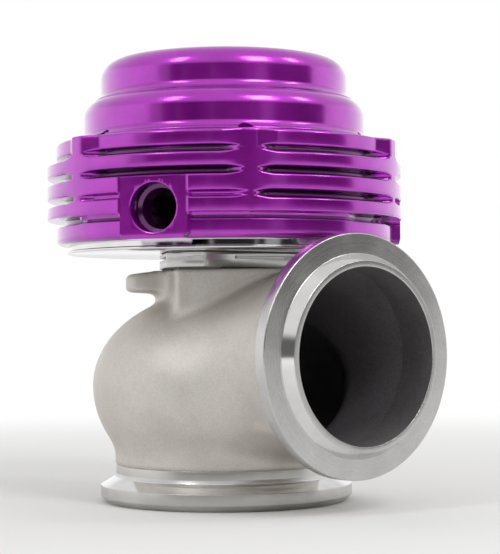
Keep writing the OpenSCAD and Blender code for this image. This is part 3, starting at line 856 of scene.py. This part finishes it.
def casting_holes(p):
    """Guide bore, scraper recess and the tapped holes in the deck."""
    x, y, z = p.T
    radius = np.hypot(x, y)
    guide_r = 6.5
    recess_r = 7.5
    recess_depth = 1.8
    tapped_r = 2.5
    holes = np.minimum(radius - guide_r, np.maximum(radius - recess_r, z - (BOSS_Z + recess_depth)))
    for reach, angle in SCREW_PLACES:
        a = math.radians(angle)
        tapped = np.hypot(x - reach * math.cos(a), y - reach * math.sin(a)) - tapped_r
        holes = np.minimum(holes, np.maximum(tapped, TAPPED_Z - z))
    return holes


def casting_field(p):
    """The whole casting, cut flat at the deck and where the two flange rings meet it."""
    x, y, z = p.T
    solid = smooth_max(casting_outside(p), -casting_inside(p), 0.6)
    solid = np.maximum(solid, -casting_holes(p))
    solid = np.maximum(solid, z - DECK_Z)
    return np.maximum(np.maximum(solid, CAST_Z - z), x - CAST_X)


def moulded(shape, field, rounds):
    """Moves every point of a shape onto the surface where a field is zero."""
    p = np.array([v.co for v in shape.verts], float)
    tiny = 0.02
    for _ in range(rounds):
        slope = np.stack([(field(p + d) - field(p - d)) / (2 * tiny) for d in np.eye(3) * tiny], 1)
        value = field(p)
        step = value / np.maximum((slope**2).sum(1), 0.3)
        p -= slope * np.clip(step, -1.0, 1.0)[:, None]
    for v, place in zip(shape.verts, p):
        v.co = place
    return shape


def cad_copy(node):
    """Merged copy of a CAD node's mesh."""
    shape = bmesh.new()
    shape.from_mesh(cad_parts[node].data)
    bmesh.ops.scale(shape, vec=(1 / MM, 1 / MM, 1 / MM), verts=shape.verts)
    bmesh.ops.remove_doubles(shape, verts=shape.verts, dist=0.001)
    return shape


def trimmed(shape, place, normal):
    """Cuts off what lies past a plane and closes the cut."""
    everything = list(shape.verts) + list(shape.edges) + list(shape.faces)
    bmesh.ops.bisect_plane(shape, geom=everything, dist=0.0001, plane_co=place, plane_no=normal,
                           clear_outer=True)
    rim = [e for e in shape.edges if e.is_boundary]
    bmesh.ops.triangle_fill(shape, use_beauty=True, use_dissolve=False, edges=rim)
    return shape


def casting_shape():
    """The CAD casting, meshed evenly and moved onto the fields' filleted form, with painted shade on its
    inside.
    """
    voxel = 0.65
    shade_reach = 0.35
    mouth_depth = 4
    mouth_r = 22.3
    shape = modified(cad_copy("valve_body"), "REMESH", mode="VOXEL", voxel_size=voxel)
    trimmed(shape, (0, 0, CAST_Z), (0, 0, -1))
    trimmed(shape, (CAST_X, 0, 0), (1, 0, 0))
    moulded(shape, casting_field, 4)
    for _ in range(3):
        bmesh.ops.smooth_vert(shape, verts=shape.verts, factor=0.5, use_axis_x=True, use_axis_y=True,
                              use_axis_z=True)
        moulded(shape, casting_field, 2)
    bmesh.ops.recalc_face_normals(shape, faces=shape.faces)
    # Painted shade: faces on the inside and just within the outlet mouth take the dark bore finish.
    middles = np.array([f.calc_center_median() for f in shape.faces])
    outward = np.abs(casting_outside(middles))
    painted_shade_faces = np.abs(casting_inside(middles)) < np.minimum(outward, shade_reach)
    off_axis = np.hypot(middles[:, 1], middles[:, 2] - OUTLET_Z)
    painted_shade_faces |= (middles[:, 0] > CAST_X - mouth_depth) & (off_axis < mouth_r)
    for face, dark in zip(shape.faces, painted_shade_faces):
        face.material_index = int(dark)
    return shape


# Flanges
def inlet_flange_shape():
    """Inlet clamp flange with its register and a polished upper slope."""
    rim_r = 32.5
    slope_z = 4.35
    slope_r = 28.8
    slope_top = 6.5
    neck_r = 28.5
    neck_top = 9.6
    shape = spun(rounded([
        (26.5, 0, 0.15), (30.9, 0, 0.25), (rim_r, 1.6, 0.4), (rim_r, slope_z, 0.22),
        (slope_r, slope_top, 0.6), (neck_r, 7.4, 0.3), (neck_r, neck_top, 0.15), (24.5, neck_top, 0),
        (24.5, 8, 0), (26, 8, 0), (26, 1.5, 0), (26.5, 1.5, 0)], 5), 320)
    for face in shape.faces:
        middle = face.calc_center_median()
        radius = math.hypot(middle.x, middle.y)
        on_slope = neck_r + 0.1 < radius < rim_r - 0.1 and slope_z + 0.05 < middle.z < slope_top + 0.1
        face.material_index = int(on_slope)
    return shape


def outlet_flange_shape():
    """Outlet clamp flange, whose lip has a polished side, with painted shade on the start of the bore."""
    bore_r = 21.2
    lip_top_r = 22.6
    lip_foot_r = 24.3
    rim_r = 29.3
    overlap = 2.2
    end = high("valve_body").x
    face = end - 3
    shape = spun(rounded([
        (bore_r, CAST_X - overlap, 0), (bore_r, end, 0.12), (lip_top_r, end, 0.25),
        (lip_foot_r, face, 0.4), (rim_r, face + 0.15, 0.35),
        (rim_r, face - 3.1, 0.3), (24.3, face - 5.6, 0.8), (23.7, CAST_X - 0.1, 0),
        (22.6, CAST_X - overlap, 0)], 5), 320)
    for facet in shape.faces:
        middle = facet.calc_center_median()
        radius = math.hypot(middle.x, middle.y)
        # Painted shade: the bore's faces take the dark bore finish.
        shaded_bore_start = radius < bore_r + 0.01 and middle.z < end - 0.2
        on_lip = lip_top_r + 0.15 < radius < lip_foot_r - 0.1 and middle.z > face + 0.15
        facet.material_index = 2 if on_lip else int(shaded_bore_start)
    return placed(shape, TO_OUTLET)


# Heat spacer
def spacer_shape():
    """The CAD spacer with its two wide corners rounded, where its slots run out."""
    bottom = low("heat_spacer").z
    top = high("heat_spacer").z
    corner = 9.0
    slot_height = 1.4
    slot_drop = 1.1
    sides = [(0, 17.22), (45, 26.02), (120, 17.02), (-120, 17.02), (-45, 26.02)]
    roundings = [0, corner, 0, corner, 0]
    outline = [(*meet(sides[i], sides[(i + 1) % 5]), roundings[i]) for i in range(5)]
    limit = extruded(rounded(outline, 16), bottom - 1, top + 1)
    shape = cad_copy("heat_spacer")
    for side in (-1, 1):
        middle = meet((45 * side, 26 - corner), (120 * side, 17 - corner))
        filler = bmesh.new()
        bmesh.ops.create_cone(filler, cap_ends=True, segments=96, radius1=corner - 0.01,
                              radius2=corner - 0.01, depth=slot_height)
        placed(filler, Matrix.Translation((middle.x, middle.y, top - slot_drop)))
        shape = modified(shape, "BOOLEAN", filler, operation="UNION", solver="EXACT")
    shape = modified(shape, "BOOLEAN", limit, operation="INTERSECT", solver="EXACT")
    bmesh.ops.dissolve_limit(shape, angle_limit=math.radians(1), verts=shape.verts, edges=shape.edges)
    edges = [e for e in shape.edges if len(e.link_faces) == 2 and e.calc_face_angle() > math.radians(40)]
    bmesh.ops.bevel(shape, geom=edges, offset=0.12, offset_type="OFFSET", segments=2, profile=0.5,
                    material=-1, affect="EDGES", clamp_overlap=True)
    return shape


# Diaphragm
def make_diaphragm():
    """Diaphragm copied from the CAD one; on the real valve its fold rolls between the lifting plates and its
    clamped rim.
    """
    rubber = finish("woven_rubber", woven_rubber)
    sheet = piece("rolling_diaphragm", cad_copy("diaphragm"), None, "diaphragm_rubber", rubber)
    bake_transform(sheet)
    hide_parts("diaphragm")


# Springs
def spring_shape(node):
    """Coil of round wire, as tall as the CAD spring."""
    wires = {"outer_spring": 3.0, "middle_spring": 2.6, "inner_spring": 2.2}
    wire = wires[node]
    turns = 5
    per_turn = 40
    bottom = low(node)
    top = high(node)
    coil_r = top.x - wire / 2
    rise = top.z - bottom.z - wire
    shape = bmesh.new()
    bmesh.ops.create_circle(shape, cap_ends=True, segments=14, radius=wire / 2)
    first_turn = Matrix.Translation((coil_r, 0, bottom.z + wire / 2))
    placed(shape, first_turn @ Matrix.Rotation(math.pi / 2, 4, "X"))
    steps = turns * per_turn
    start = list(shape.verts) + list(shape.edges) + list(shape.faces)
    bmesh.ops.spin(shape, geom=start, cent=(0, 0, 0), axis=(0, 0, 1), dvec=(0, 0, rise / steps),
                   angle=2 * math.pi * turns, steps=steps)
    bmesh.ops.recalc_face_normals(shape, faces=shape.faces)
    return shape


# Camera
TOWARD = Vector((0.790, -0.613, 0)).normalized()
RIGHT = Vector((0.613, 0.790, 0)).normalized()


def make_camera():
    """Camera at the photograph's viewing angle, in metres, on the line that TOWARD gives from the stem."""
    distance = 0.43536
    height = 0.04616
    turn_right = 0.01492
    tilt_up = 0.02637
    roll = math.radians(-0.42)
    focal_pixels = 1670.5
    frame_width_pixels = 500
    ahead = (RIGHT * turn_right - TOWARD + Vector((0, 0, tilt_up))).normalized()
    level = ahead.cross(Vector((0, 0, 1))).normalized()
    upright = level.cross(ahead)
    across = level * math.cos(roll) + upright * math.sin(roll)
    up = upright * math.cos(roll) - level * math.sin(roll)
    data = bpy.data.cameras.new("camera")
    data.sensor_fit = "HORIZONTAL"
    data.sensor_width = 36
    data.lens = data.sensor_width * focal_pixels / frame_width_pixels
    data.clip_start = 0.01
    camera = bpy.data.objects.new("camera", data)
    turned = Matrix((across, up, -ahead)).transposed().to_4x4()
    camera.matrix_world = Matrix.Translation(TOWARD * distance + Vector((0, 0, height))) @ turned
    scene.collection.objects.link(camera)
    scene.camera = camera


# Studio
def direction(azimuth, elevation):
    """Direction seen from the object: azimuth from the camera, positive to the right, in degrees."""
    a = math.radians(azimuth)
    e = math.radians(elevation)
    level = TOWARD * math.cos(a) + RIGHT * math.sin(a)
    return level * math.cos(e) + Vector((0, 0, math.sin(e)))


def bands(pairs):
    """Ramp stops of a grey level against azimuth, with short ramps between levels."""
    stops = []
    soft = 0.004
    for azimuth, level in pairs:
        place = azimuth / 360 + 0.5
        if stops:
            stops.append((max(place - soft, 0), stops[-1][1]))
        stops.append((min(place, 1), (level, level, level)))
    return stops


def make_world():
    """Studio walls in bright and dark bands, a pale ceiling, and white for what the camera sees."""
    world = bpy.data.worlds.new("studio")
    scene.world = world
    world.use_nodes = True
    shader = Shader(world.node_tree)
    way = shader.node("ShaderNodeTexCoord").pick("Generated")

    def along(axis):
        inputs = {0: way, 1: tuple(axis)}
        return shader.node("ShaderNodeVectorMath", {"operation": "DOT_PRODUCT"}, inputs).pick("Value")

    azimuth = shader.node("ShaderNodeMath", {"operation": "ARCTAN2"}, {0: along(RIGHT), 1: along(TOWARD)})
    turn = azimuth * (1 / (2 * math.pi)) + 0.5
    walls = shader.node("ShaderNodeValToRGB", {"stops": bands([
        (-180, 1.1), (-62, 0.5), (-50, 0.0), (-37, 0.25), (-35, 0.0), (-10, 0.3), (-8, 0.02),
        (23, 0.3), (24.5, 0.02), (30, 0.35), (41, 0.02), (90, 1.1)])}, {0: turn})
    up = along((0, 0, 1))
    ceiling = up.between(0.26, 0.40)
    floor = (0 - up).between(0.0, 0.02)
    lit = shader.blend(ceiling, walls, colour(0.82, 0.82, 0.82))
    lit = shader.blend(floor, lit, colour(0.85, 0.85, 0.85))
    seen = shader.node("ShaderNodeLightPath").pick("Is Camera Ray")
    shown = shader.blend(seen, lit, colour(1.0, 1.0, 1.0))
    background = shader.node("ShaderNodeBackground", None, {"Color": shown, "Strength": 1.0})
    shader.node("ShaderNodeOutputWorld", None, {"Surface": background})


def make_lamp(name, azimuth, elevation, width, height, level):
    """Soft lamp, sized in metres, whose panel has the given brightness."""
    distance = 1.2
    data = bpy.data.lights.new(name, "AREA")
    data.shape = "RECTANGLE"
    data.size = width
    data.size_y = height
    data.energy = level * math.pi * width * height
    lamp = bpy.data.objects.new(name, data)
    way = direction(azimuth, elevation)
    middle = Vector((0, 0, 0.08))
    turned = way.to_track_quat("Z", "Y").to_matrix().to_4x4()
    lamp.matrix_world = Matrix.Translation(middle + way * distance) @ turned
    scene.collection.objects.link(lamp)


def make_floor():
    """Pale floor, in metres, that turns as white as the background a little way off."""
    floor_r = 1.2
    white_from = 0.16
    white_at = 0.42
    shape = bmesh.new()
    bmesh.ops.create_circle(shape, cap_ends=True, segments=96, radius=floor_r)
    mesh = bpy.data.meshes.new("floor")
    shape.to_mesh(mesh)
    shape.free()
    material = bpy.data.materials.new("pale_floor")
    material.use_nodes = True
    shader = Shader(material.node_tree)
    x, y, z = shader.parts(shader.place())
    away = ((x * x + y * y) ** 0.5).between(white_from, white_at)
    rays = shader.node("ShaderNodeLightPath")
    seen = rays + rays.pick("Is Glossy Ray") + rays.pick("Is Transmission Ray")
    matt = shader.node("ShaderNodeBsdfDiffuse", None, {"Color": colour(0.80, 0.80, 0.79)})
    white = shader.node("ShaderNodeEmission", None, {"Color": colour(1, 1, 1), "Strength": 1.0})
    mixed = shader.node("ShaderNodeMixShader", None, {0: away * seen, 1: matt, 2: white})
    shader.node("ShaderNodeOutputMaterial", None, {"Surface": mixed})
    mesh.materials.append(material)
    floor = bpy.data.objects.new("floor", mesh)
    scene.collection.objects.link(floor)


def make_studio():
    """Plain light from three soft lamps and the studio's walls, over a pale floor."""
    scene.view_settings.view_transform = "Standard"
    make_world()
    make_lamp("key_lamp", azimuth=34, elevation=39, width=0.36, height=0.44, level=7.5)
    make_lamp("right_lamp", azimuth=74, elevation=38, width=0.13, height=0.28, level=9.5)
    make_lamp("left_lamp", azimuth=-46, elevation=39, width=0.20, height=0.40, level=6.0)
    make_floor()


# Assembly
def make_actuator():
    """Cap, finned housing and base disc."""
    purple = finish("purple_anodised", purple_anodised)
    cap = piece("cap_shell", drilled(cap_shape(), collar_notches()), "gate_body", "purple_aluminium", purple)
    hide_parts("actuator_cap")
    holes = joined(port_cutters(), screw_holes())
    housing = piece("finned_housing", drilled(housing_shape(), holes), "gate_body",
                    "purple_aluminium", purple)
    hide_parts("actuator_housing")
    polished = finish("polished_stainless", polished_stainless)
    plate = piece("base_disc", drilled(base_plate_shape(), screw_holes()), "gate_body", "polished_stainless",
                  polished)
    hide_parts("base_plate")


def make_gate():
    """Casting, its two flange rings and the heat spacer."""
    cast = finish("cast_stainless", cast_surface)
    # Painted shade for the bore, the second finish of the casting and of the outlet ring.
    bore = finish("painted_bore_shade", painted_bore_shade)
    machined = finish("machined_stainless", machined_stainless)
    outlet = finish("outlet_stainless", outlet_stainless)
    polished = finish("polished_step", polished_stainless)
    body = piece("gate_casting", casting_shape(), "gate_body", "cast_stainless", cast, bore, crease=50)
    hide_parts("valve_body")
    inlet_rim = piece("inlet_flange_ring", inlet_flange_shape(), "gate_body", "machined_stainless",
                      machined, polished)
    outlet_rim = piece("outlet_flange_ring", outlet_flange_shape(), "gate_body", "machined_stainless",
                       outlet, bore, polished)
    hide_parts("valve_body")
    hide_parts("valve_body")
    spacer = piece("cooling_spacer", spacer_shape(), "gate_body", "machined_stainless", machined)
    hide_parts("heat_spacer")


def make_springs():
    """Three coils, each as tall as its CAD spring; on the real valve they shorten towards the cap as it
    lifts.
    """
    wire = finish("spring_wire", spring_wire)
    for node in ("outer_spring", "middle_spring", "inner_spring"):
        coil = piece(node + "_coil", spring_shape(node), "gate_body", "spring_steel", wire)
        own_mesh(coil)
        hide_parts(node)


def dress_nodes():
    """Gives the CAD nodes that stay in view their finishes."""
    finishes = {
        finish("alloy_steel", alloy_steel): ["valve", "valve_seat", "stem_washer", "stem_nut",
                                             "seal_retainer", "base_screws"],
        finish("guide_bronze", guide_bronze): ["valve_guide", "screw_washers"],
        finish("gasket_sheet", gasket_sheet): ["body_gasket", "base_gasket", "stem_scraper"],
        finish("plain_aluminium", plain_aluminium): ["lower_plate", "upper_plate"],
        finish("seal_rubber", seal_rubber): ["stem_seal"],
        finish("ring_wire", spring_wire): ["retaining_ring"],
    }
    for material, names in finishes.items():
        for name in names:
            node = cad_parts[name]
            node.data.materials.clear()
            node.data.materials.append(material)


make_camera()
make_studio()
make_actuator()
make_gate()
make_diaphragm()
make_springs()
dress_nodes()
